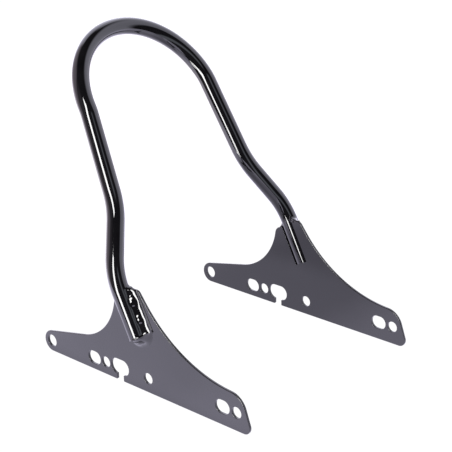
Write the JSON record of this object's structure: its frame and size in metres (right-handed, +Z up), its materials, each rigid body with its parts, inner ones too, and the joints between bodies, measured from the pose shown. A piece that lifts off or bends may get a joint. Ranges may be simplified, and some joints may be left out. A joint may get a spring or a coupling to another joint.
{
  "type": "sissy bar",
  "caption": "Low motorcycle sissy bar: a bent round tube hoop whose feet are welded to flat side plates with bolt holes, slots and a keyhole notch, in gloss black paint.",
  "frame": {"origin": "on the surface that the plates' lower edges stand on, at the middle of the whole part's box seen from above", "axes": "+X forwards, towards the long front arm of each plate; +Y to the rider's left, square to the plates; +Z up, square to the plates' straight lower edges"},
  "size_m": [0.3098, 0.2824, 0.3447],
  "materials": {
    "tube_paint": "gloss",
    "plate_paint": "gloss",
    "weld_paint": "gloss"
  },
  "bodies": {
    "root": {"hoop_tube": "tube_paint", "left_side_plate": "plate_paint", "right_side_plate": "plate_paint", "left_weld": "weld_paint", "right_weld": "weld_paint"}
  },
  "joints": []
}
